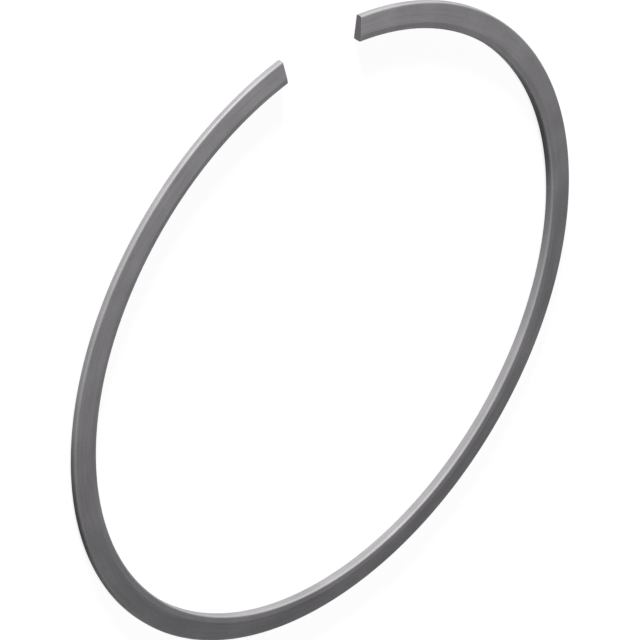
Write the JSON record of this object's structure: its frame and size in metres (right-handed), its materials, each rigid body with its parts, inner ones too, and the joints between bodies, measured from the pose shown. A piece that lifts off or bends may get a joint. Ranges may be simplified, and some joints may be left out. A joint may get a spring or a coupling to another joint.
{
  "type": "internal snap ring",
  "caption": "Flat open spring ring with a wide gap and a one-sided taper to a thin outer rim, for a groove in a bore.",
  "frame": {"origin": "on the ring's axis, in the plane of its flat back face", "axes": "+Z along the ring's axis, out of the tapered face; +Y through the middle of the gap; +X across the gap"},
  "size_m": [0.157, 0.156, 0.0022],
  "materials": {
    "spring_steel": "drawn and tempered spring steel with a thin matt grey phosphate coat, rubbed brighter along the edges"
  },
  "bodies": {
    "root": {"snap_ring": "spring_steel"}
  },
  "joints": []
}
